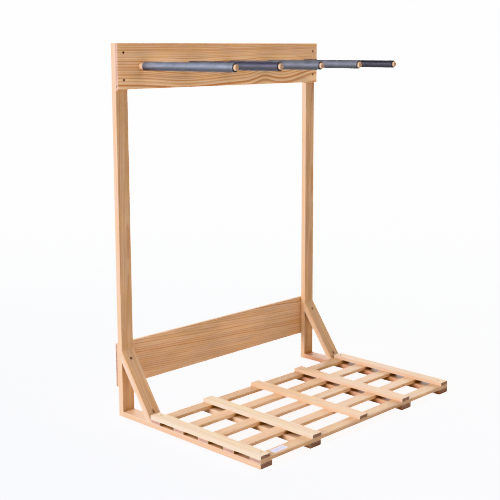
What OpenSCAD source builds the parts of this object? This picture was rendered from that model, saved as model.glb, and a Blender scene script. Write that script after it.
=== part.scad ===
// Freestanding rack for boards stored on end: a slatted timber platform to
// stand them on, two posts, and a headboard with five foam covered pegs that
// keep them apart. X runs across the rack, -Y is the front and Z is up. The
// origin is on the floor, under the middle of the rack.

/* [Frame] */
// Height of the posts and of the whole rack
rack_h = 1200; // [900:10:1500]
// Width across the outer faces of the posts
rack_w = 940; // [860:10:1200]
// Width of a post, seen from the front
post_w = 50; // [44:1:60]
// Depth of a post from front to back
post_d = 20; // [18:1:30]

/* [Boards] */
// Height of the headboard and of the backboard
board_h = 145; // [120:1:180]
// Thickness of the headboard and of the backboard
board_t = 12; // [10:0.5:18]
// Height of the backboard's lower edge above the floor
backboard_z = 96; // [60:1:200]

/* [Pegs] */
// Diameter of a peg's dowel
dowel_d = 18; // [12:1:22]
// Outside diameter of a foam sleeve
sleeve_d = 28; // [26:1:40]
// Length of a foam sleeve
sleeve_l = 400; // [200:1:450]
// Bare dowel between the headboard and the sleeve
root_bare = 20; // [2:1:30]
// Bare dowel beyond the sleeve
tip_bare = 6; // [2:1:15]
// Distance between two neighbouring pegs
peg_pitch = 188; // [150:1:190]

/* [Platform] */
// Length of an outer runner, from the posts to the front
runner_l = 618; // [500:1:700]
// Width of a runner
runner_w = 50; // [40:1:60]
// Height of a runner
runner_h = 17; // [14:1:30]
// Distance from the rack's middle to the middle of an inner runner
inner_runner_x = 230; // [200:1:245]
// Width of a slat
slat_w = 42; // [35:1:55]
// Thickness of a slat
slat_t = 12; // [10:0.5:16]
// Width of a deck board
deck_w = 40; // [34:1:50]
// Thickness of a deck board
deck_t = 12; // [10:0.5:16]
// Distance from the posts to the platform's back edge
deck_setback = 140; // [130:1:150]

/* [Braces] */
// Thickness of a brace
brace_t = 20; // [16:1:24]
// Height at which a brace's upper face meets the post
brace_top_z = 222; // [218:1:230]
// Slope of a brace above the floor, in degrees
brace_angle = 55; // [54:0.5:56]

/* [Screws] */
// Diameter of a screw's shank
screw_d = 4; // [3:0.5:5]
// Diameter of a screw's head
head_d = 8; // [6:0.5:9]
// Depth to which a screw's head is sunk
sink = 1; // [0.5:0.5:2]

/* [Label] */
// Length of the blank label on the front slat
label_l = 58; // [30:1:80]
// Width of the blank label
label_w = 24; // [12:1:30]

/* [Hidden] */
$fn = 48;
HANDS = [-1, 1];                  // left, right
SIDES = ["left", "right"];
PEGS = 5;
SLATS = 5;
DECK_BOARDS = 5;
RUNNERS = 4;
EPS = 0.01;                       // cutters run past a face by this much
ease = 1;                         // eased long edges of the timber
slip = 0.1;                       // radial room round a screw or in a glued bore
label_t = 0.3;
tip_round = 1.5;                  // eased front end of a dowel
recess_w = 1.1;                   // arm width of a screw's cross recess

// Places along Y, from the back of the rack to its front.
rack_d = board_t + post_d + runner_l;
back_y = rack_d / 2;
post_back_y = back_y - board_t;
post_y = post_back_y - post_d;    // front face of the posts
front_y = -rack_d / 2;
head_y = post_y - board_t;        // front face of the headboard
deck_back_y = post_y - deck_setback;
deck_l = deck_back_y - front_y;
slat_pitch = (deck_l - slat_w) / (SLATS - 1);
deck_pitch = (rack_w - deck_w) / (DECK_BOARDS - 1);

// Heights above the floor.
slat_z = runner_h;
deck_z = slat_z + slat_t;
deck_top = deck_z + deck_t;
head_z = rack_h - board_h;
peg_z = head_z + board_h / 2;

// Screws: one row in the middle of each post, two across a runner's end.
post_x = (rack_w - post_w) / 2;
board_screw_z = 42;               // above and below a wide board's middle
runner_screw_x = 14;              // each side of a runner's middle
board_screw_l = 28;
head_angle_h = 2.5;               // height of a countersunk head
brace_screw_z = brace_top_z - 26;
brace_screw_seat = 6;             // head depth under the brace's upper face
foot_screw_y = 16.5;              // behind the platform's back edge
foot_screw_l = 30;
runner_screw_l = 50;
corner_screw_l = 34;
under_screw_l = 37;
centre_screw_l = 20;

peg_x = [for (i = [0 : PEGS - 1]) (i - (PEGS - 1) / 2) * peg_pitch];
deck_x = [for (i = [0 : DECK_BOARDS - 1]) (i - (DECK_BOARDS - 1) / 2) * deck_pitch];
slat_y = [for (i = [0 : SLATS - 1]) deck_back_y - slat_w / 2 - i * slat_pitch];
runner_x = [-(rack_w - runner_w) / 2, -inner_runner_x, inner_runner_x, (rack_w - runner_w) / 2];

// Where each screw's head is, as points on the face it's driven from.
head_screws = [for (s = HANDS, u = HANDS) [s * post_x, head_y, peg_z + u * board_screw_z]];
back_screws = [for (s = HANDS, u = HANDS)
    [s * post_x, back_y, backboard_z + board_h / 2 + u * board_screw_z]];
brace_slope_y = (brace_top_z - brace_screw_z) / tan(brace_angle);
brace_screws = [for (s = HANDS) [s * post_x, post_y - brace_slope_y + brace_screw_seat, brace_screw_z]];
foot_y = deck_back_y + foot_screw_y;
foot_slope_z = brace_top_z - (post_y - foot_y) * tan(brace_angle);
foot_screws = [for (s = HANDS) [s * post_x, foot_y, foot_slope_z - brace_screw_seat - sink]];
runner_screws = [for (s = HANDS, u = HANDS)
    [s * runner_x[3] + u * runner_screw_x, post_back_y, runner_h / 2]];
corner_screws = [for (s = HANDS, i = [0, SLATS - 1]) [s * post_x, slat_y[i], deck_top]];
under_screws = concat(
    [for (s = HANDS, i = [0 : SLATS - 1]) [s * deck_x[3], slat_y[i], 0]],
    [for (s = HANDS, i = [1 : SLATS - 2]) [s * post_x, slat_y[i], 0]]);
centre_screws = [for (i = [0 : SLATS - 1]) [0, slat_y[i], slat_z]];

PINE = [0.86, 0.68, 0.47];
PALE_PINE = [0.92, 0.78, 0.60];
FOAM = [0.42, 0.43, 0.50];
STEEL = [0.16, 0.14, 0.13];
PAPER = [0.93, 0.93, 0.95];

// A bar of timber along X from the origin, with its four long edges eased.
module bar(l, d, h) {
    translate([0, ease, 0]) cube([l, d - 2 * ease, h]);
    translate([0, 0, ease]) cube([l, d, h - 2 * ease]);
    for (y = [ease, d - ease], z = [ease, h - ease])
        translate([0, y, z]) rotate([0, 90, 0]) cylinder(r = ease, h = l);
}

// The same bar along Y or along Z, with its lowest corner at the origin.
module bar_y(w, l, h) { translate([w, 0, 0]) rotate([0, 0, 90]) bar(l, w, h); }
module bar_z(w, d, l) { translate([0, 0, l]) rotate([0, 90, 0]) bar(l, d, w); }

// Turns a shape drawn along -Z, with its head at z = 0, to run along a row axis.
module driven_back() { rotate([90, 0, 0]) children(); }    // into the rack from the front
module driven_front() { rotate([-90, 0, 0]) children(); }  // into the rack from the back
module driven_up() { rotate([180, 0, 0]) children(); }     // up from below

// A countersunk wood screw whose head lies flush at z = 0, with its tip below.
module screw(l) {
    tip = 2 * screw_d;
    difference() {
        union() {
            translate([0, 0, -head_angle_h]) cylinder(d1 = screw_d, d2 = head_d, h = head_angle_h);
            translate([0, 0, tip - l]) cylinder(d = screw_d, h = l - tip - head_angle_h);
            translate([0, 0, -l]) cylinder(d1 = 0.6, d2 = screw_d, h = tip);
        }
        for (a = [0, 90]) rotate([0, 0, a])
            translate([-head_d / 4, -recess_w / 2, -head_angle_h / 2])
                cube([head_d / 2, recess_w, head_angle_h]);
    }
}

// The hole that such a screw sits in: a shaft, a seat for the head and a way in.
module screw_hole(l, above) {
    seat_d = head_d + 2 * slip;
    translate([0, 0, -l - EPS]) cylinder(d = screw_d + 2 * slip, h = l);
    translate([0, 0, -head_angle_h]) cylinder(d1 = screw_d + 2 * slip, d2 = seat_d, h = head_angle_h);
    translate([0, 0, -EPS]) cylinder(d = seat_d, h = above);
}

// Screws, or their holes, at each of a list of places. sunk heads lie a
// little under the face that the places are on.
module headboard_fixings() {
    for (p = head_screws) translate(p + [0, sink, 0]) driven_back() children();
}
module backboard_fixings() {
    for (p = back_screws) translate(p - [0, sink, 0]) driven_front() children();
}
module brace_top_fixings() { for (p = brace_screws) translate(p) driven_back() children(); }
module brace_foot_fixings() { for (p = foot_screws) translate(p) children(); }
module runner_end_fixings() {
    for (p = runner_screws) translate(p - [0, sink, 0]) driven_front() children();
}
module deck_corner_fixings() { for (p = corner_screws) translate(p - [0, 0, sink]) children(); }
module underside_fixings() {
    for (p = under_screws) translate(p + [0, 0, sink]) driven_up() children();
}
module centre_board_fixings() {
    for (p = centre_screws) translate(p + [0, 0, sink]) driven_up() children();
}

module deck_holes() {
    deck_corner_fixings() screw_hole(corner_screw_l, 2 * sink);
    underside_fixings() screw_hole(under_screw_l, 2 * sink);
    centre_board_fixings() screw_hole(centre_screw_l, 2 * sink);
}

module post(side) {
    color(PALE_PINE) difference() {
        translate([side * post_x - post_w / 2, post_y, 0]) bar_z(post_w, post_d, rack_h);
        headboard_fixings() screw_hole(board_screw_l, 2 * sink);
        backboard_fixings() screw_hole(board_screw_l, 2 * sink);
        brace_top_fixings() screw_hole(board_screw_l, 2 * sink);
        runner_end_fixings() screw_hole(runner_screw_l, 2 * sink);
    }
}

module headboard() {
    color(PINE) difference() {
        translate([-rack_w / 2, head_y, head_z]) bar(rack_w, board_t, board_h);
        for (x = peg_x) translate([x, head_y - 1, peg_z]) rotate([-90, 0, 0])
            cylinder(d = dowel_d + 2 * slip, h = board_t + 2);
        headboard_fixings() screw_hole(board_screw_l, 2 * sink);
    }
}

module backboard() {
    color(PINE) difference() {
        translate([-rack_w / 2, post_back_y, backboard_z]) bar(rack_w, board_t, board_h);
        backboard_fixings() screw_hole(board_screw_l, 2 * sink);
    }
}

// A dowel glued through the headboard, flush with its back, with an eased tip.
module peg_dowel(i) {
    reach = board_t + root_bare + sleeve_l + tip_bare;
    color(PALE_PINE) translate([peg_x[i], head_y + board_t, peg_z]) rotate([90, 0, 0]) {
        cylinder(d = dowel_d, h = reach - tip_round);
        translate([0, 0, reach - tip_round])
            cylinder(d1 = dowel_d, d2 = dowel_d - 2 * tip_round, h = tip_round);
    }
}

module foam_sleeve(i) {
    color(FOAM) translate([peg_x[i], head_y - root_bare, peg_z]) rotate([90, 0, 0]) difference() {
        cylinder(d = sleeve_d, h = sleeve_l);
        translate([0, 0, -1]) cylinder(d = dowel_d + 2 * slip, h = sleeve_l + 2);
    }
}

// A brace: cut upright where it meets the post and the platform, and level on the runner.
module brace(side) {
    rise = tan(brace_angle);
    low_z = brace_top_z - brace_t / cos(brace_angle);
    heel = (low_z - runner_h) / rise;
    toe_z = brace_top_z - deck_setback * rise;
    color(PINE) difference() {
        translate([side * post_x - post_w / 2, post_y, 0]) rotate([90, 0, 90])
            linear_extrude(post_w) polygon([
                [0, brace_top_z], [0, low_z], [-heel, runner_h],
                [-deck_setback, runner_h], [-deck_setback, toe_z]]);
        brace_top_fixings() screw_hole(board_screw_l, brace_t);
        brace_foot_fixings() screw_hole(foot_screw_l, brace_t);
    }
}

// Runners 1 and 4 reach back to the posts; 2 and 3 lie only under the platform.
module runner(i) {
    outer = i == 0 || i == RUNNERS - 1;
    l = outer ? runner_l : deck_l;
    color(PINE) difference() {
        translate([runner_x[i] - runner_w / 2, front_y, 0]) bar_y(runner_w, l, runner_h);
        runner_end_fixings() screw_hole(runner_screw_l, 2 * sink);
        brace_foot_fixings() screw_hole(foot_screw_l, 2 * sink);
        deck_holes();
    }
}

module slat(i) {
    color(PALE_PINE) difference() {
        translate([-rack_w / 2, slat_y[i] - slat_w / 2, slat_z]) bar(rack_w, slat_w, slat_t);
        deck_holes();
    }
}

module deck_board(i) {
    color(PALE_PINE) difference() {
        translate([deck_x[i] - deck_w / 2, front_y, deck_z]) bar_y(deck_w, deck_l, deck_t);
        deck_holes();
    }
}

module headboard_screws() { color(STEEL) headboard_fixings() screw(board_screw_l); }
module backboard_screws() { color(STEEL) backboard_fixings() screw(board_screw_l); }
module brace_top_screws() { color(STEEL) brace_top_fixings() screw(board_screw_l); }
module brace_foot_screws() { color(STEEL) brace_foot_fixings() screw(foot_screw_l); }
module runner_end_screws() { color(STEEL) runner_end_fixings() screw(runner_screw_l); }
module deck_corner_screws() { color(STEEL) deck_corner_fixings() screw(corner_screw_l); }
module runner_underside_screws() { color(STEEL) underside_fixings() screw(under_screw_l); }
module centre_board_screws() { color(STEEL) centre_board_fixings() screw(centre_screw_l); }

// A blank paper label stuck to the front slat, beside the left deck board.
module blank_label() {
    gap = 30;
    color(PAPER) translate([deck_x[0] + deck_w / 2 + gap, slat_y[SLATS - 1] - label_w / 2, deck_z])
        cube([label_l, label_w, label_t]);
}

for (i = [0, 1]) post(HANDS[i]);
headboard();
backboard();
for (i = [1 : PEGS]) peg_dowel(i - 1);
for (i = [1 : PEGS]) foam_sleeve(i - 1);
for (i = [0, 1]) brace(HANDS[i]);
for (i = [1 : RUNNERS]) runner(i - 1);
for (i = [1 : SLATS]) slat(i - 1);
for (i = [1 : DECK_BOARDS]) deck_board(i - 1);
headboard_screws();
backboard_screws();
brace_top_screws();
brace_foot_screws();
runner_end_screws();
deck_corner_screws();
runner_underside_screws();
centre_board_screws();
blank_label();
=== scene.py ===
"""Freestanding pine board rack: looks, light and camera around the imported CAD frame.

Lengths are in metres in the row frame, as in the CAD model. Wood patterns are worked out in
millimetres in each board's own axes: x along the grain, y across the face, z through it.
"""
import math
import random

import bmesh
import bpy
from mathutils import Euler, Matrix, Vector, noise


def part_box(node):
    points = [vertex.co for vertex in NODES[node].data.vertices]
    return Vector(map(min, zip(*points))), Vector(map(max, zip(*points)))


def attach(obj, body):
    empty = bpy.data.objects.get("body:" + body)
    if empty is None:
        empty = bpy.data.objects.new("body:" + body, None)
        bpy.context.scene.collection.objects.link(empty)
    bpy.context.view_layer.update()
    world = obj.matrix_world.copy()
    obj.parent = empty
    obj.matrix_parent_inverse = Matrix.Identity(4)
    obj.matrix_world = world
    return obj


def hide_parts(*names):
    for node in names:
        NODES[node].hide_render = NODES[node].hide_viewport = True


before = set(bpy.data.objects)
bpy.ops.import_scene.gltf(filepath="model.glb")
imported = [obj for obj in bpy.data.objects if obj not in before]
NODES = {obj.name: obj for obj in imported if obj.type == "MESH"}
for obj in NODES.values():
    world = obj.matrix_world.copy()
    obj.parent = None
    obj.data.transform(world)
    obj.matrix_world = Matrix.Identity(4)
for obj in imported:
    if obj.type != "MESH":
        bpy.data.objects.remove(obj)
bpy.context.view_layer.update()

MM = 0.001                 # one millimetre, in metres

# ---------------------------------------------------------------- camera and light values
CAMERA_AT = (-2.48, -2.25, 1.184)
CAMERA_HEADING = 45.67     # degrees from +Y towards +X
CAMERA_PITCH = 9.06        # degrees below the horizon
CAMERA_ROLL = -0.17        # degrees
LENS_MM = 74.5
SENSOR_MM = 36.0
FRAME_SHIFT = -0.075       # how far the frame lies off the lens axis, as part of its width

WORLD_GLOW = 0.23          # the backdrop's strength as a light
BACKDROP_SEEN = 6.0        # and as the camera sees it
FLOOR_GLOW = 2.2           # lifts the floor to white for the camera alone
FLOOR_FADE = 1.6           # the floor starts to melt into the backdrop this far out, in metres
FLOOR_END = 4.5            # and it is gone this far out
FLOOR_DROP = 0.0005        # the floor lies this far below the rack's feet
FLOOR_GREY = (244, 244, 244)
FLOOR_PALE = (249, 249, 248)
MIDDLE = (0, 0, 0.5)       # where most lights aim
LIGHTS = [                 # name, place, target, width and height, radiance in red, green, blue
    ("back_panel", (3.6, 3.6, 1.15), MIDDLE, (7.0, 2.3), (6.0, 6.3, 6.2)),
    ("left_softbox", (-3.3, 0.9, 1.5), MIDDLE, (2.4, 2.4), (12.0, 12.6, 15.2)),
    ("front_softbox", (0.4, -3.6, 2.4), (0, 0, 0.7), (2.0, 2.0), (3.2, 2.8, 2.7)),
    ("top_softbox", (-0.3, -0.2, 3.6), MIDDLE, (2.6, 2.6), (1.0, 1.0, 1.0)),
    ("right_softbox", (3.6, -1.6, 1.8), MIDDLE, (2.2, 2.2), (1.25, 1.2, 1.2)),
]

# ---------------------------------------------------------------- wood values
BRACE_SLOPE = 55.0         # degrees above the floor, as in the CAD model
BRACE_HALF = (125, 25, 10)         # half the brace's length, width and thickness, in mm
NOOK_REACH = 0.03          # how near a neighbour must be for the painted nook shade, in metres
NOOK_SHADE = (0.30, 0.19, 0.11)    # painted shade: what is left of the tone in the deepest nook

# Size of each pattern along the grain and across it, in mm.
WANDER_SIZE = (260, 70)
FIBRE_SIZE = (45, 0.9)
STREAK_SIZE = (340, 9)
CLOUD_SIZE = (180, 60)
PORE_SIZE = (7, 0.7)
HUE_SIZE = (120, 22)
RUB_SIZE = 14              # patches where the corners show wear and a painted edge highlight
SPECK_SIZE = 0.8           # torn fibres on sawn ends

EARLY_WOOD = (1.10, 1.14, 1.18)    # the pale part of a ring against the board's mean tone
LATE_WOOD = (0.68, 0.42, 0.28)     # the dark part
WARM_PATCH = (1.03, 1.0, 0.93, 1)
COOL_PATCH = (0.98, 0.985, 1.06, 1)
END_RING = (0.08, 0.035, 0.018, 1)         # late wood, cut across
# pale tone at the arrises: partly wear, partly a painted edge highlight
WORN_CORNER_HIGHLIGHT = (0.9, 0.8, 0.66, 1)
HEART_SHADE = 0.42         # a knot's heart against late wood
WOOD_RELIEF = 0.00012      # height of the grain, in metres

NO_KNOT = (0, 0, 1)        # no place and size 1: the depth is then set to nothing
CENTRE_KNOT = (-52, 3, 3.6)        # along and across the board, and its size, in mm

# Where the headboard's easing begins below its middle and over what height, in mm, and its
# strength, from 0 to 1.
FIGURE_START = 76.0
FIGURE_REACH = 80.0
FIGURE_EASE = 0.74
# Along the headboard: centre of a wave, its reach, and how far it lifts the lines, in mm.
HEADBOARD_WAVES = [(-170, 160, -16.0), (185, 60, 14.0), (470, 150, 24.0)]

# The planed faces' mean tones, as display values, from the palest boards to the deepest.
CREAM = (247, 223, 182)
STRAW = (244, 206, 158)
HONEY = (230, 194, 152)
TAN = (212, 175, 132)
AMBER = (204, 153, 113)
TONES = {
    "post": TAN,
    "brace": TAN,
    "headboard": STRAW,
    "backboard": HONEY,
    "runner_1": TAN,
    "runner_2": HONEY,
    "runner": AMBER,
    "slat_1": TAN,
    "slat_5": TAN,
    "slat": HONEY,
    "deck_board_1": CREAM,
    "deck_board_2": CREAM,
    "deck_board_3": STRAW,
    "deck_board": HONEY,
    "peg_dowel": HONEY,
}

# Sawn ends: the pegs' tips, ends in the open, and ends in shade.
CUT_PALE = (214, 178, 142)
CUT_OPEN = (166, 128, 105)
CUT_SHADED = (150, 116, 92)
END_TONES = {
    "post": CUT_SHADED,
    "brace": CUT_SHADED,
    "backboard": CUT_SHADED,
    "headboard": CUT_OPEN,
    "runner": CUT_OPEN,
    "slat": CUT_OPEN,
    "deck_board": CUT_OPEN,
    "peg_dowel": CUT_PALE,
}


class Graph:
    """Adds nodes to one node tree; every call returns the new node's output socket."""

    def __init__(self, tree):
        self.tree = tree

    def node(self, kind, **settings):
        made = self.tree.nodes.new(kind)
        for key, value in settings.items():
            setattr(made, key, value)
        return made

    def feed(self, socket, value):
        if isinstance(value, bpy.types.NodeSocket):
            self.tree.links.new(value, socket)
        elif value is not None:
            socket.default_value = value

    def math(self, operation, a, b=None, c=None, clamp=False):
        made = self.node("ShaderNodeMath", operation=operation, use_clamp=clamp)
        for socket, value in zip(made.inputs, (a, b, c)):
            self.feed(socket, value)
        return made.outputs[0]

    def vector(self, operation, a, b=None):
        made = self.node("ShaderNodeVectorMath", operation=operation)
        self.feed(made.inputs[0], a)
        if operation == "SCALE":
            self.feed(made.inputs["Scale"], b)
        else:
            self.feed(made.inputs[1], b)
        return made.outputs["Value" if operation in ("LENGTH", "DOT_PRODUCT") else "Vector"]

    def split(self, value):
        made = self.node("ShaderNodeSeparateXYZ")
        self.feed(made.inputs[0], value)
        return made.outputs

    def join(self, x, y, z):
        made = self.node("ShaderNodeCombineXYZ")
        for socket, value in zip(made.inputs, (x, y, z)):
            self.feed(socket, value)
        return made.outputs[0]

    def noise(self, value, scale=1.0, detail=2.0, rough=0.5, colour=False):
        made = self.node("ShaderNodeTexNoise", noise_dimensions="3D")
        self.feed(made.inputs["Vector"], value)
        made.inputs["Scale"].default_value = scale
        made.inputs["Detail"].default_value = detail
        made.inputs["Roughness"].default_value = rough
        return made.outputs["Color" if colour else "Fac"]

    def random(self, value):
        made = self.node("ShaderNodeTexWhiteNoise", noise_dimensions="1D")
        self.feed(made.inputs["W"], value)
        return made.outputs["Value"]

    def step(self, value, low, high, to_low=0.0, to_high=1.0):
        """A smooth step from to_low at low to to_high at high."""
        made = self.node("ShaderNodeMapRange", interpolation_type="SMOOTHSTEP")
        for socket, item in zip(made.inputs, (value, low, high, to_low, to_high)):
            self.feed(socket, item)
        return made.outputs[0]

    def mix(self, amount, a, b):
        made = self.node("ShaderNodeMix", data_type="RGBA")
        self.feed(made.inputs[0], amount)
        self.feed(made.inputs[6], a)
        self.feed(made.inputs[7], b)
        return made.outputs[2]

    def bump(self, height, distance, strength):
        made = self.node("ShaderNodeBump")
        made.inputs["Strength"].default_value = strength
        made.inputs["Distance"].default_value = distance
        self.feed(made.inputs["Height"], height)
        return made.outputs[0]


def shade(tone):
    """A linear colour, with alpha, from 0-255 display values."""
    values = []
    for part in tone:
        part /= 255
        values.append(part / 12.92 if part <= 0.04045 else ((part + 0.055) / 1.055) ** 2.4)
    return (*values, 1.0)


def times(tone, factors):
    """A display tone multiplied part by part in linear light."""
    return tuple(a * b for a, b in zip(shade(tone)[:3], factors)) + (1.0,)


# ---------------------------------------------------------------- pine
PINE_INPUTS = [
    ("Board", "NodeSocketVector", None),
    ("Facing", "NodeSocketVector", None),
    ("Half size", "NodeSocketVector", (100, 20, 6)),
    ("Pith", "NodeSocketVector", (0, 0, 40)),
    ("Lean", "NodeSocketVector", (0, 0, 0)),
    ("Ring width", "NodeSocketFloat", 4.0),
    ("Wander", "NodeSocketFloat", 6.0),
    ("Swell", "NodeSocketFloat", 0.0),
    ("Knot", "NodeSocketVector", (0, 0, 1)),
    ("Knot depth", "NodeSocketFloat", 0.0),
    # Nook: at 0 the deepest nooks get the full painted shade, at 1 none
    ("Nook", "NodeSocketFloat", 0.0),
    ("Seed", "NodeSocketFloat", 0.0),
    ("Contrast", "NodeSocketFloat", 0.5),
    ("Early", "NodeSocketColor", (0.6, 0.4, 0.2, 1)),
    ("Late", "NodeSocketColor", (0.3, 0.15, 0.06, 1)),
    ("End grain", "NodeSocketColor", (0.3, 0.2, 0.1, 1)),
]


def stretched(g, board, shift, size):
    """A place in a pattern of that size along the grain and across it."""
    along, across = size
    return g.vector("ADD", g.vector("MULTIPLY", board, (1 / along, 1 / across, 1 / across)), shift)


def pith_distance(g, given, board, shift):
    """How far a point is from the pith line, which leans; the grain wanders slowly."""
    x, y, z = g.split(board)
    slow = g.noise(stretched(g, board, shift, WANDER_SIZE), 1.0, 2.0, 0.45, colour=True)
    drift = g.vector("SUBTRACT", slow, (0.5, 0.5, 0.5))
    drift_y, drift_z = g.split(g.vector("SCALE", drift, given["Wander"]))[1:3]
    pith_y, pith_z = g.split(given["Pith"])[1:3]
    lean_y, lean_z = g.split(given["Lean"])[1:3]
    ring_y = g.math("SUBTRACT", g.math("ADD", y, drift_y), g.math("MULTIPLY_ADD", x, lean_y, pith_y))
    ring_z = g.math("SUBTRACT", g.math("ADD", z, drift_z), g.math("MULTIPLY_ADD", x, lean_z, pith_z))
    return g.math("ADD", g.vector("LENGTH", g.join(0.0, ring_y, ring_z)), given["Swell"])


def knot_distance(g, given, board):
    """How far a point is from the knot's middle, in knot sizes; a knot is long with the grain."""
    x, y = g.split(board)[0:2]
    knot_x, knot_y, knot_size = g.split(given["Knot"])
    away = g.join(g.math("MULTIPLY", g.math("SUBTRACT", x, knot_x), 0.55),
                  g.math("SUBTRACT", y, knot_y), 0.0)
    return g.math("DIVIDE", g.vector("LENGTH", away), knot_size)


def part_rings(g, given, radius, away):
    """The rings part round the knot."""
    bulge = g.math("EXPONENT", g.math("MULTIPLY", g.math("MULTIPLY", away, away), -0.22))
    bulge = g.math("MULTIPLY", bulge, given["Knot depth"])
    knot_size = g.split(given["Knot"])[2]
    return g.math("ADD", radius, g.math("MULTIPLY", g.math("MULTIPLY", bulge, knot_size), 2.0))


def late_wood(g, given, radius, seed):
    """Growth rings: pale early wood darkens slowly, then the late wood ends at once."""
    years = g.math("DIVIDE", radius, given["Ring width"])
    uneven = g.noise(g.join(g.math("MULTIPLY", years, 0.35), seed, 0.0), 1.0, 2.0)
    years = g.math("MULTIPLY_ADD", uneven, 1.6, years)
    part = g.math("FRACT", years)
    vigour = g.random(g.math("ADD", g.math("FLOOR", years), g.math("MULTIPLY", seed, 31.0)))
    late = g.math("MULTIPLY", g.step(part, 0.22, 0.86), g.step(part, 0.90, 1.0, 1.0, 0.0))
    return g.math("MULTIPLY", late, g.math("MULTIPLY_ADD", vigour, 0.65, 0.35))


def arris_wear_and_highlight(g, given, board, rub):
    """1 at an arris with wear and a painted edge highlight: the middle one of the three distances to
    the faces is then small.
    """
    gap = g.split(g.vector("SUBTRACT", given["Half size"], g.vector("ABSOLUTE", board)))
    low = g.math("MINIMUM", gap[0], gap[1])
    high = g.math("MAXIMUM", gap[0], gap[1])
    arris = g.math("MAXIMUM", low, g.math("MINIMUM", high, gap[2]))
    return g.step(g.math("SUBTRACT", arris, g.math("MULTIPLY", rub, 2.2)), -0.6, 1.1, 1.0, 0.0)


def planed_tone(g, given, board, shift, late, fibre, pore):
    """The tone of a face along the grain: rings, fibres, streaks, pores and broad patches."""
    streak = g.noise(stretched(g, board, shift, STREAK_SIZE), 1.0, 2.0, 0.5)
    cloud = g.noise(stretched(g, board, shift, CLOUD_SIZE), 1.0, 2.0, 0.5)
    depth = g.math("MULTIPLY", late, given["Contrast"], clamp=True)
    tone = g.mix(depth, given["Early"], given["Late"])
    tone = g.mix(g.step(fibre, 0.35, 0.75, 0.0, 0.16), tone, given["Late"])
    tone = g.mix(g.step(streak, 0.30, 0.72, 0.0, 0.22), tone, given["Late"])
    tone = g.mix(g.math("MULTIPLY", pore, 0.30), tone, given["Late"])
    tone = g.vector("SCALE", tone, g.math("MULTIPLY_ADD", g.step(cloud, 0.25, 0.75), 0.16, 0.92))
    hue_at = stretched(g, board, g.vector("SCALE", shift, 1.7), HUE_SIZE)
    hue = g.step(g.noise(hue_at, 1.0, 2.0, 0.55), 0.3, 0.7)
    return g.vector("MULTIPLY", tone, g.mix(hue, WARM_PATCH, COOL_PATCH))


def knot_heart(g, given, tone, away):
    """The knot's heart is dark."""
    heart = g.math("MULTIPLY", g.step(away, 0.25, 1.15, 1.0, 0.0), given["Knot depth"])
    return g.mix(g.math("MULTIPLY", heart, 0.75), tone, g.vector("SCALE", given["Late"], HEART_SHADE))


def sawn_tone(g, given, late, speck):
    """The tone of end grain: the same rings cut across, darker, with torn specks."""
    tone = g.mix(g.math("MULTIPLY", late, 0.9), given["End grain"], END_RING)
    return g.vector("SCALE", tone, g.math("MULTIPLY_ADD", speck, 0.45, 0.78))


def saw_lines(g, board, rub):
    """Faint slanting lines across an end."""
    y, z = g.split(board)[1:3]
    saw_at = g.math("ADD", g.math("MULTIPLY", y, 0.9), g.math("MULTIPLY", z, 1.5))
    return g.math("SINE", g.math("ADD", g.math("MULTIPLY", saw_at, 2.4), g.math("MULTIPLY", rub, 3.0)))


def paint_nook_shade(g, given, tone):
    """Paints shade into the corners and gaps that a neighbour closes in: the tone is darkened there.
    """
    nook = g.node("ShaderNodeAmbientOcclusion", samples=6)
    nook.inputs["Distance"].default_value = NOOK_REACH
    open_air = g.step(nook.outputs["AO"], 0.08, 0.58, given["Nook"], 1.0)
    return g.mix(open_air, g.vector("MULTIPLY", tone, NOOK_SHADE), tone)


def wood_roughness(g, late, fibre, end, wear_highlight_mask):
    """Late wood and worn corners are smoother, and sawn ends rougher."""
    rough = g.math("MULTIPLY_ADD", late, -0.12, 0.56)
    rough = g.math("ADD", rough, g.step(fibre, 0.3, 0.7, -0.04, 0.06))
    rough = g.math("ADD", rough, g.math("MULTIPLY", end, 0.24))
    return g.math("SUBTRACT", rough, g.math("MULTIPLY", wear_highlight_mask, 0.08), clamp=True)


def wood_normal(g, late, fibre, pore, end, saw, speck):
    """Relief of rings, fibres and pores, and of saw lines on the ends."""
    relief = g.math("MULTIPLY_ADD", late, 0.5, g.math("MULTIPLY", fibre, 0.5))
    relief = g.math("SUBTRACT", relief, g.math("MULTIPLY", pore, 0.4))
    cut = g.math("MULTIPLY_ADD", saw, 0.5, speck)
    return g.bump(g.math("ADD", relief, g.math("MULTIPLY", end, cut)), WOOD_RELIEF, 0.8)


def new_pine_tree():
    """An empty node group with the pine's inputs and outputs."""
    tree = bpy.data.node_groups.new("pine", "ShaderNodeTree")
    for name, kind, value in PINE_INPUTS:
        socket = tree.interface.new_socket(name, in_out="INPUT", socket_type=kind)
        if value is not None:
            socket.default_value = value
    for name, kind in (("Color", "NodeSocketColor"), ("Roughness", "NodeSocketFloat"),
                       ("Normal", "NodeSocketVector")):
        tree.interface.new_socket(name, in_out="OUTPUT", socket_type=kind)
    return tree


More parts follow.
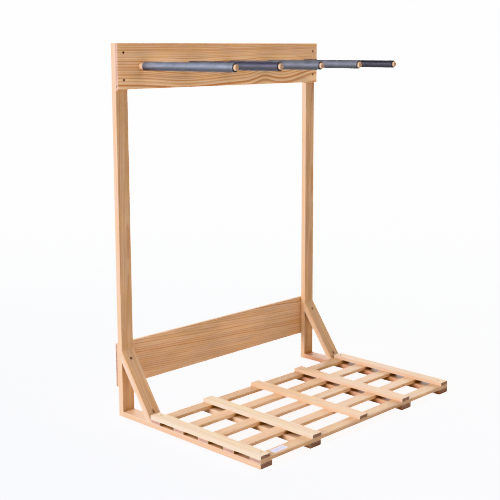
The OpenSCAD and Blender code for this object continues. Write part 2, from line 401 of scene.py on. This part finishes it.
def pine_group():
    """The wood itself: growth rings about a pith line, fibres, pores, end grain and edges, with wear
    and a painted highlight on the edges, and painted shade in the nooks.
    """
    tree = new_pine_tree()
    g = Graph(tree)
    given = g.node("NodeGroupInput").outputs
    board, seed = given["Board"], given["Seed"]
    shift = g.join(g.math("MULTIPLY", seed, 17.3), g.math("MULTIPLY", seed, 5.1), seed)

    away = knot_distance(g, given, board)
    radius = part_rings(g, given, pith_distance(g, given, board, shift), away)
    late = late_wood(g, given, radius, seed)
    fibre = g.noise(stretched(g, board, shift, FIBRE_SIZE), 1.0, 3.0, 0.6)
    pore = g.step(g.noise(stretched(g, board, shift, PORE_SIZE), 1.0, 1.0), 0.66, 0.74)
    speck = g.noise(g.vector("SCALE", board, 1 / SPECK_SIZE), 1.0, 2.0, 0.6)
    rub = g.noise(g.vector("ADD", g.vector("SCALE", board, 1 / RUB_SIZE), shift), 1.0, 3.0, 0.6)
    saw = saw_lines(g, board, rub)
    wear_highlight_mask = arris_wear_and_highlight(g, given, board, rub)
    end = g.step(g.math("ABSOLUTE", g.split(given["Facing"])[0]), 0.55, 0.85)

    tone = planed_tone(g, given, board, shift, late, fibre, pore)
    tone = knot_heart(g, given, tone, away)
    tone = g.mix(end, tone, sawn_tone(g, given, late, speck))
    # the arrises are lightened, partly as wear and partly as a painted edge highlight
    tone = g.mix(g.math("MULTIPLY", wear_highlight_mask, 0.28), tone, g.mix(0.5, given["Early"], WORN_CORNER_HIGHLIGHT))

    out = g.node("NodeGroupOutput").inputs
    g.feed(out["Color"], paint_nook_shade(g, given, tone))
    g.feed(out["Roughness"], wood_roughness(g, late, fibre, end, wear_highlight_mask))
    g.feed(out["Normal"], wood_normal(g, late, fibre, pore, end, saw, speck))
    return tree


PINE = pine_group()

# turns that bring the row frame's axes to the board's: grain on x, face width on y
ALONG = {
    "X_flat": Euler((0, 0, 0)),                                  # lies flat, grain on X
    "X_up": Euler((math.radians(-90), 0, 0)),                    # stands on edge, grain on X
    "Y_flat": Euler((0, 0, math.radians(-90))),                  # lies flat, grain on Y
    "Z_up": Matrix(((0, 0, 1), (1, 0, 0), (0, 1, 0))).to_euler(),  # stands up, grain on Z
}


def brace_turn():
    """The brace's grain runs up and back at its slope; its wide side faces front and up."""
    slope = math.radians(BRACE_SLOPE)
    along = Vector((0, math.cos(slope), math.sin(slope)))
    across = Vector((1, 0, 0))
    return Matrix((along, across, along.cross(across))).to_euler()


ALONG["brace"] = brace_turn()


def dress(node, material):
    """Gives a CAD node its Blender material."""
    NODES[node].data.materials.clear()
    NODES[node].data.materials.append(material)


def tone_of(table, node):
    """The table's entry for the node itself, or for the kind of part it is."""
    return table.get(node) or table[node.rsplit("_", 1)[0]]


def board_place(g, node, turn):
    """A point's place in the board's own millimetres, and the way its surface faces."""
    low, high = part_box(node)
    centre = (low + high) / 2
    where = g.node("ShaderNodeTexCoord").outputs
    place = g.node("ShaderNodeMapping", vector_type="POINT")
    place.inputs["Scale"].default_value = (1 / MM,) * 3
    place.inputs["Rotation"].default_value = turn
    place.inputs["Location"].default_value = -(turn.to_matrix() @ centre) / MM
    g.feed(place.inputs["Vector"], where["Object"])
    facing = g.node("ShaderNodeMapping", vector_type="NORMAL")
    facing.inputs["Rotation"].default_value = turn
    g.feed(facing.inputs["Vector"], where["Normal"])
    return place.outputs[0], facing.outputs[0]


def half_size(node, turn):
    """Half the board's size along, across and through, in mm."""
    low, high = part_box(node)
    return tuple(abs(v) / 2 / MM for v in turn.to_matrix() @ (high - low))


def pine(node, along, ring=4.0, pith=(0, 30), lean=(0, 0), wander=6.0,
         contrast=0.5, seed=0.0, half=None, swell=None, knot=NO_KNOT, nook=0.0):
    """A pine material for one board, set out from that board's own box."""
    tone, end = tone_of(TONES, node), tone_of(END_TONES, node)
    turn = ALONG[along]
    material = bpy.data.materials.new("pine_" + node)
    material.use_nodes = True
    g = Graph(material.node_tree)
    shader = material.node_tree.nodes["Principled BSDF"]
    board, facing = board_place(g, node, turn)
    wood = g.node("ShaderNodeGroup", node_tree=PINE)
    g.feed(wood.inputs["Board"], board)
    g.feed(wood.inputs["Facing"], facing)
    values = {"Half size": half or half_size(node, turn), "Pith": (0, *pith),
              "Lean": (0, *lean), "Ring width": ring,
              "Wander": wander, "Seed": seed, "Contrast": contrast,
              "Knot": knot, "Knot depth": 0.0 if knot == NO_KNOT else 1.0, "Nook": nook,
              "Early": times(tone, EARLY_WOOD), "Late": times(tone, LATE_WOOD),
              "End grain": shade(end)}
    for key, value in values.items():
        wood.inputs[key].default_value = value
    if swell:
        g.feed(wood.inputs["Swell"], swell(g, board))
    g.feed(shader.inputs["Base Color"], wood.outputs["Color"])
    g.feed(shader.inputs["Roughness"], wood.outputs["Roughness"])
    g.feed(shader.inputs["Normal"], wood.outputs["Normal"])
    shader.inputs["Specular IOR Level"].default_value = 0.4
    dress(node, material)


def headboard_figure(g, board):
    """Makes the headboard's grain wide and wavy below, fine and almost straight above.

    The pith is far off, so the rings alone would draw straight even lines. The figure eases the
    pace at which they are crossed near the lower edge and lifts or drops them by the waves.
    """
    x, y, _ = g.split(board)
    t = g.math("DIVIDE", g.math("ADD", y, FIGURE_START), FIGURE_REACH, clamp=True)
    cube = g.math("POWER", t, 3.0)
    eased = g.math("SUBTRACT", t, g.math("MULTIPLY", cube, g.math("MULTIPLY_ADD", t, -0.5, 1.0)))
    eased = g.math("MULTIPLY", eased, -FIGURE_EASE * FIGURE_REACH)
    pace = g.step(t, 0.0, 1.0, 1.0 - FIGURE_EASE, 1.0)
    lift = None
    for centre, reach, rise in HEADBOARD_WAVES:
        away = g.math("DIVIDE", g.math("SUBTRACT", x, centre), reach)
        wave = g.math("EXPONENT", g.math("MULTIPLY", g.math("MULTIPLY", away, away), -1.0))
        wave = g.math("MULTIPLY", wave, rise)
        lift = wave if lift is None else g.math("ADD", lift, wave)
    lift = g.math("MULTIPLY", lift, g.step(y, -25, 45, 1.0, 0.22))
    return g.math("SUBTRACT", eased, g.math("MULTIPLY", lift, pace))


def dress_timber():
    """Pine for every board; small differences of ring width and pith come from one seed."""
    rng = random.Random(7)

    def near(value, amount):
        return value * (1 + rng.uniform(-amount, amount))

    for index, side in enumerate(("left", "right")):
        pine(f"post_{side}", "Z_up", ring=3.6, pith=(near(14, 0.5), 34), lean=(0.012, 0.006),
             wander=7, contrast=0.7, seed=3.1 + index)
        pine(f"brace_{side}", "brace", ring=3.4, pith=(10, 40), wander=4, contrast=0.45,
             seed=21.0 + index, half=BRACE_HALF)
    pine("headboard", "X_up", ring=5.2, pith=(-420, 60), wander=3, contrast=1.4, seed=14.0,
         swell=headboard_figure)
    pine("backboard", "X_up", ring=7.0, pith=(-300, 20), lean=(-0.07, 0), wander=10,
         contrast=0.9, seed=12.4)
    for index in range(1, 5):
        pine(f"runner_{index}", "Y_flat", ring=near(5.2, 0.2), pith=(rng.uniform(-20, 20), 30),
             lean=(0.01, 0.01), contrast=0.5, seed=30.0 + index)
    for index in range(1, 6):
        pine(f"slat_{index}", "X_flat", ring=near(3.4, 0.2), pith=(rng.uniform(-20, 20), 32),
             lean=(0.008, 0.008), contrast=0.55, seed=40.0 + index)
    for index in range(1, 6):
        pine(f"deck_board_{index}", "Y_flat", ring=near(4.4, 0.2), pith=(rng.uniform(-15, 15), 32),
             lean=(0.008, 0.008), contrast=0.5, seed=50.0 + index,
             knot=CENTRE_KNOT if index == 3 else NO_KNOT)
    for index in range(1, 6):
        # nook=1.0: no painted nook shade on the dowels
        pine(f"peg_dowel_{index}", "Y_flat", ring=2.4, pith=(rng.uniform(-20, 20), 22), wander=3,
             contrast=0.35, seed=60.0 + index, nook=1.0)


# ---------------------------------------------------------------- screws and label
OXIDE_DARK = (34, 27, 24)
OXIDE_PALE = (66, 54, 47)
SCRATCH_TONE = (120, 110, 102)
LABEL_TONE = (226, 222, 232)
PRINT_TONE = (150, 160, 205)
GRIME_TONE = (205, 196, 182)
LABEL_RIM = (200, 192, 184)


def screw_material():
    """Dark oxide steel: blotchy, rubbed brighter in places, with fine scratches."""
    material = bpy.data.materials.new("dark_oxide_screw")
    material.use_nodes = True
    g = Graph(material.node_tree)
    shader = material.node_tree.nodes["Principled BSDF"]
    at = g.vector("SCALE", g.node("ShaderNodeTexCoord").outputs["Object"], 1 / MM)
    blotch = g.noise(g.vector("SCALE", at, 1 / 1.6), 1.0, 3.0, 0.6)
    scratch = g.noise(g.vector("MULTIPLY", at, (1 / 3, 1 / 0.2, 1 / 0.2)), 1.0, 2.0, 0.6)
    tone = g.mix(g.step(blotch, 0.3, 0.7), shade(OXIDE_DARK), shade(OXIDE_PALE))
    tone = g.mix(g.step(scratch, 0.62, 0.76, 0.0, 0.5), tone, shade(SCRATCH_TONE))
    g.feed(shader.inputs["Base Color"], tone)
    g.feed(shader.inputs["Roughness"], g.step(blotch, 0.25, 0.75, 0.34, 0.58))
    shader.inputs["Metallic"].default_value = 0.6
    g.feed(shader.inputs["Normal"], g.bump(g.math("ADD", blotch, scratch), 0.00008, 0.7))
    return material


def label_material():
    """Blank pale label stock with paper fibre, a little grime and faint dashes without letters."""
    material = bpy.data.materials.new("label_paper")
    material.use_nodes = True
    g = Graph(material.node_tree)
    shader = material.node_tree.nodes["Principled BSDF"]
    low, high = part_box("blank_label")
    middle, half = (low + high) / 2, (high - low) / 2
    where = g.node("ShaderNodeTexCoord").outputs
    place = g.vector("SUBTRACT", where["Object"], tuple(middle))
    across = g.vector("MULTIPLY", place, (1 / half.x, 1 / half.y, 0.0))
    u, v, _ = g.split(g.vector("ABSOLUTE", across))
    at = g.vector("SCALE", place, 1 / MM)
    fibre = g.noise(g.vector("SCALE", at, 1 / 0.6), 1.0, 3.0, 0.6)
    grime = g.noise(g.vector("SCALE", at, 1 / 9), 1.0, 2.0, 0.6)
    dashes = g.noise(g.vector("MULTIPLY", at, (1 / 1.8, 1 / 1.1, 1.0)), 1.0, 1.0)
    dashes = g.step(dashes, 0.46, 0.56)
    inside = g.math("MULTIPLY", g.step(u, 0.62, 0.74, 1.0, 0.0), g.step(v, 0.42, 0.56, 1.0, 0.0))
    print_on = g.math("MULTIPLY", g.math("MULTIPLY", dashes, inside), 0.45)
    tone = g.mix(g.step(fibre, 0.3, 0.7), shade(LABEL_TONE), times(LABEL_TONE, (0.93, 0.93, 0.95)))
    tone = g.mix(g.step(grime, 0.45, 0.8, 0.0, 0.18), tone, shade(GRIME_TONE))
    tone = g.mix(print_on, tone, shade(PRINT_TONE))
    rim = g.step(g.math("MAXIMUM", u, v), 0.95, 1.0, 0.0, 0.3)
    tone = g.mix(rim, tone, shade(LABEL_RIM))
    g.feed(shader.inputs["Base Color"], tone)
    g.feed(shader.inputs["Roughness"], g.step(fibre, 0.3, 0.7, 0.42, 0.55))
    g.feed(shader.inputs["Normal"], g.bump(g.math("MULTIPLY_ADD", grime, 2.0, fibre), 0.00006, 0.7))
    return material


def dress_rest():
    """Screws and label."""
    screw = screw_material()
    for node in NODES:
        if node.endswith("_screws"):
            dress(node, screw)
    dress("blank_label", label_material())


# ---------------------------------------------------------------- foam sleeves
# Sizes in mm.
SLEEVE_RADIUS = 14.0
SLEEVE_BORE = 9.15         # radius of the bore
SLEEVE_EASE = 2.4          # radius of the rounding of the cut ends
SLEEVE_SIDES = 72
EASE_BENDS = 6             # steps in the rounding
RING_STEP = 3.0            # spacing of the rings along a sleeve
BORE_CHAMFER = 0.5
RIM_FLAT = 1.2             # a flat rim between the chamfer and the rounding
SKIN_BROAD = 0.30          # how far the skin rises and falls
SKIN_FINE = 0.10
SKIN_SUNK = 0.12           # and how far it is sunk as a whole
# Each sleeve's tone, as display values, from the left; the second and fifth are darker as painted
# shade.
FOAM_TONE_AND_SHADE = [(70, 72, 76), (44, 41, 48), (72, 72, 75), (77, 76, 80), (26, 24, 29)]
FOAM_DEEP = (0.85, 0.85, 0.85)     # dark patches, pale patches and pits against that tone
FOAM_PALE = (1.2, 1.2, 1.2)
FOAM_PIT = (0.55, 0.55, 0.57)
FOAM_CUT = (40, 38, 46)
UNDER_SHADE_TOP_LIGHT = (0.32, 2.00)       # what multiplies the foam's tone as painted shade on its underside, and as painted light on its top


def sleeve_profile(front, back):
    """Place along the sleeve and radius of each ring, from the front bore round to the back one."""
    rows = [(front + 0.4, SLEEVE_BORE),
            (front, SLEEVE_BORE + BORE_CHAMFER),
            (front, SLEEVE_RADIUS - SLEEVE_EASE - RIM_FLAT)]
    for step in range(EASE_BENDS + 1):
        turn = math.pi / 2 * step / EASE_BENDS
        rows.append((front + SLEEVE_EASE * (1 - math.cos(turn)),
                     SLEEVE_RADIUS - SLEEVE_EASE * (1 - math.sin(turn))))
    end = list(rows)
    straight = back - front - 2 * SLEEVE_EASE
    inner = int(straight / RING_STEP)
    span = straight / inner
    rows += [(front + SLEEVE_EASE + span * s, SLEEVE_RADIUS) for s in range(1, inner)]
    rows += [(back - (at - front), radius) for at, radius in reversed(end)]
    return rows


def sleeve_radius(index, at, radius, c, s):
    """A ring's radius towards one side: the skin is slightly uneven, and the bore isn't."""
    skin = (radius - SLEEVE_BORE) / (SLEEVE_RADIUS - SLEEVE_BORE)
    spot = Vector((c * 0.8, s * 0.8, at / 26 + index * 7.7))
    fine = Vector((c * 3.2, s * 3.2, at / 7 + index * 3.3))
    uneven = SKIN_BROAD * noise.noise(spot) + SKIN_FINE * noise.noise(fine) - SKIN_SUNK
    return radius + skin * uneven


def foam_sleeve(index, material):
    """A soft tube on its dowel: rounded cut ends, a slightly uneven skin, open bore."""
    node = f"foam_sleeve_{index}"
    low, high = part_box(node)
    axis_x, axis_z = (low.x + high.x) / 2 / MM, (low.z + high.z) / 2 / MM
    mesh = bpy.data.meshes.new(node)
    build = bmesh.new()
    rings = []
    for at, radius in sleeve_profile(low.y / MM, high.y / MM):
        ring = []
        for side in range(SLEEVE_SIDES):
            turn = math.tau * side / SLEEVE_SIDES
            c, s = math.cos(turn), math.sin(turn)
            r = sleeve_radius(index, at, radius, c, s)
            ring.append(build.verts.new(((axis_x + r * c) * MM, at * MM, (axis_z + r * s) * MM)))
        rings.append(ring)
    for a, b in zip(rings, rings[1:] + rings[:1]):
        for side in range(SLEEVE_SIDES):
            after = (side + 1) % SLEEVE_SIDES
            face = build.faces.new((a[side], a[after], b[after], b[side]))
            face.smooth = True
    bmesh.ops.recalc_face_normals(build, faces=build.faces)
    build.to_mesh(mesh)
    build.free()
    mesh.materials.append(material)
    piece = bpy.data.objects.new(f"foam_{index}", mesh)
    bpy.context.scene.collection.objects.link(piece)
    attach(piece, "root")
    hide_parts(node)


def foam_material(index, tone):
    """Closed-cell foam: faint crosswise ribs, painted light on top and painted shade underneath, dark
    at the cut ends.
    """
    material = bpy.data.materials.new(f"slate_foam_{index}")
    material.use_nodes = True
    g = Graph(material.node_tree)
    shader = material.node_tree.nodes["Principled BSDF"]
    where = g.node("ShaderNodeTexCoord").outputs
    at = g.vector("SCALE", where["Object"], 1 / MM)
    broad = g.noise(g.vector("MULTIPLY", at, (1 / 12, 1 / 34, 1 / 12)), 1.0, 3.0, 0.55)
    grain = g.noise(g.vector("SCALE", at, 1 / 1.1), 1.0, 2.0, 0.6)
    cells = g.node("ShaderNodeTexVoronoi", feature="F1")
    g.feed(cells.inputs["Vector"], g.vector("SCALE", at, 1 / 1.3))
    cell = cells.outputs["Distance"]
    deep, pale, pit = (times(tone, factors) for factors in (FOAM_DEEP, FOAM_PALE, FOAM_PIT))
    colour = g.mix(g.step(broad, 0.3, 0.7), deep, pale)
    colour = g.mix(g.step(grain, 0.35, 0.75, 0.0, 0.35), colour, pit)
    _, ahead, up = g.split(where["Normal"])
    # painted light and shade: the tone is lifted on top and darkened underneath, by the normal
    colour = g.vector("SCALE", colour, g.step(up, -0.75, 0.55, *UNDER_SHADE_TOP_LIGHT))
    cut = g.step(g.math("ABSOLUTE", ahead), 0.75, 0.98)
    g.feed(shader.inputs["Base Color"], g.mix(cut, colour, shade(FOAM_CUT)))
    g.feed(shader.inputs["Roughness"], g.step(grain, 0.2, 0.8, 0.34, 0.48))
    shader.inputs["Specular IOR Level"].default_value = 0.7
    ribs_at = g.vector("MULTIPLY", at, (1 / 30, 1 / 1.6, 1 / 30))
    ribs = g.noise(ribs_at, 1.0, 1.0)
    relief = g.math("ADD", g.math("MULTIPLY", cell, 0.7), g.math("ADD", grain, ribs))
    g.feed(shader.inputs["Normal"], g.bump(relief, 0.00018, 0.9))
    return material


def make_sleeves():
    """Five sleeves, which take the place of the plain CAD ones."""
    for index, tone in enumerate(FOAM_TONE_AND_SHADE, start=1):
        foam_sleeve(index, foam_material(index, tone))


# ---------------------------------------------------------------- stage
def aim(obj, target):
    """Turns a light to face its target."""
    obj.rotation_euler = (Vector(target) - obj.location).to_track_quat("-Z", "Y").to_euler()


def softbox(name, at, target, size, radiance):
    """A flat rectangular light of that radiance in each colour, not seen by the camera."""
    data = bpy.data.lights.new(name, "AREA")
    data.shape = "RECTANGLE"
    data.size, data.size_y = size
    strongest = max(radiance)
    data.energy = strongest * math.pi * size[0] * size[1]
    data.color = [part / strongest for part in radiance]
    lamp = bpy.data.objects.new(name, data)
    lamp.location = at
    lamp.visible_camera = False
    bpy.context.scene.collection.objects.link(lamp)
    aim(lamp, target)


def make_floor():
    """A pale floor that melts into the white backdrop a few metres out."""
    build = bmesh.new()
    bmesh.ops.create_circle(build, cap_ends=True, segments=96, radius=FLOOR_END)
    mesh = bpy.data.meshes.new("floor")
    build.to_mesh(mesh)
    build.free()
    floor = bpy.data.objects.new("floor", mesh)
    floor.location.z = -FLOOR_DROP
    bpy.context.scene.collection.objects.link(floor)
    material = bpy.data.materials.new("pale_floor")
    material.use_nodes = True
    g = Graph(material.node_tree)
    shader = material.node_tree.nodes["Principled BSDF"]
    at = g.node("ShaderNodeTexCoord").outputs["Object"]
    speckle = g.noise(at, 260.0, 2.0)
    g.feed(shader.inputs["Base Color"], g.mix(speckle, shade(FLOOR_GREY), shade(FLOOR_PALE)))
    shader.inputs["Roughness"].default_value = 0.9
    shader.inputs["Emission Color"].default_value = (1, 1, 1, 1)
    seen = g.node("ShaderNodeLightPath").outputs["Is Camera Ray"]
    g.feed(shader.inputs["Emission Strength"], g.math("MULTIPLY", seen, FLOOR_GLOW))
    clear = g.node("ShaderNodeBsdfTransparent").outputs[0]
    joined = g.node("ShaderNodeMixShader")
    g.feed(joined.inputs[0], g.step(g.vector("LENGTH", at), FLOOR_FADE, FLOOR_END))
    g.feed(joined.inputs[1], shader.outputs[0])
    g.feed(joined.inputs[2], clear)
    g.feed(material.node_tree.nodes["Material Output"].inputs["Surface"], joined.outputs[0])
    mesh.materials.append(material)


def make_world():
    """A white studio backdrop, which lights the rack only faintly."""
    world = bpy.data.worlds.new("studio")
    world.use_nodes = True
    g = Graph(world.node_tree)
    sky = world.node_tree.nodes["Background"]
    sky.inputs["Color"].default_value = (1, 1, 1, 1)
    seen = g.node("ShaderNodeLightPath").outputs["Is Camera Ray"]
    strength = g.math("MULTIPLY_ADD", seen, BACKDROP_SEEN - WORLD_GLOW, WORLD_GLOW)
    g.feed(sky.inputs["Strength"], strength)
    bpy.context.scene.world = world


def make_camera():
    """The photograph's view."""
    data = bpy.data.cameras.new("camera")
    data.sensor_width = SENSOR_MM
    data.lens = LENS_MM
    data.shift_y = FRAME_SHIFT
    data.clip_end = 100
    camera = bpy.data.objects.new("camera", data)
    turn = (Matrix.Rotation(math.radians(-CAMERA_HEADING), 3, "Z")
            @ Matrix.Rotation(math.radians(90 - CAMERA_PITCH), 3, "X")
            @ Matrix.Rotation(math.radians(CAMERA_ROLL), 3, "Z"))
    camera.matrix_world = Matrix.Translation(CAMERA_AT) @ turn.to_4x4()
    bpy.context.scene.collection.objects.link(camera)
    bpy.context.scene.camera = camera


def make_stage():
    """Backdrop, floor, lights and camera."""
    view = bpy.context.scene.view_settings
    view.view_transform = "Khronos PBR Neutral"
    view.look = "None"
    make_world()
    make_floor()
    for name, at, target, size, radiance in LIGHTS:
        softbox(name, at, target, size, radiance)
    make_camera()


dress_timber()
dress_rest()
make_sleeves()
make_stage()
